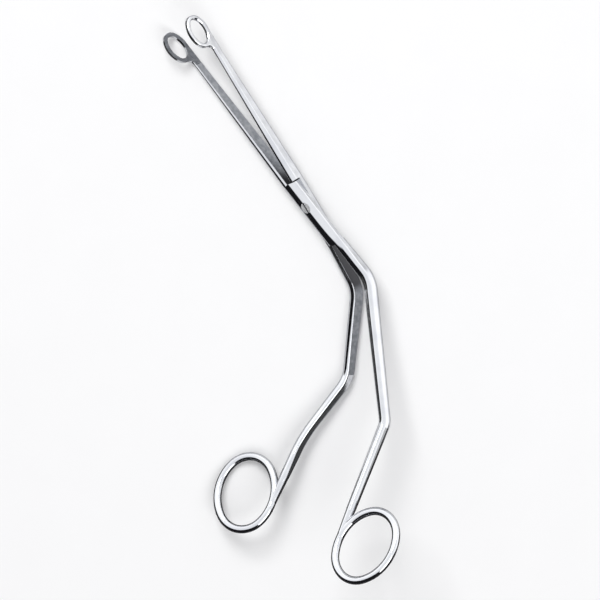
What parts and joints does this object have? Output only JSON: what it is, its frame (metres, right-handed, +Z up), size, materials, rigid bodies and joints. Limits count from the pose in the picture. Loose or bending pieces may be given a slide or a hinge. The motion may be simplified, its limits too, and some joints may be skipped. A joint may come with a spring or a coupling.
{
  "type": "magill forceps",
  "caption": "Slender angled forceps with a screwed lap joint, open serrated loop jaws, shanks bent up and aside, and oval finger rings.",
  "frame": {"origin": "centre of the footprint on the table, with the forceps lying as it comes to rest and its jaws a little open", "axes": "+X along the length towards the jaw loops, +Z up from the table, +Y towards the ring of the back half"},
  "size_m": [0.2411, 0.118, 0.0494],
  "materials": {
    "polished_steel": "polished stainless steel, satin ground on the flat inner faces",
    "screw_steel": "turned stainless steel"
  },
  "bodies": {
    "back": {"back_half": "polished_steel", "joint_screw": "screw_steel"},
    "front": {"front_half": "polished_steel"}
  },
  "joints": [
    {"name": "jaw_hinge", "type": "hinge", "parent": "back", "child": "front", "pos_m": [0.02542, -0.05062, 0.00724], "axis": [-0.0017, 0.6473, 0.7622], "range_deg": [-10.6, 25]}
  ]
}
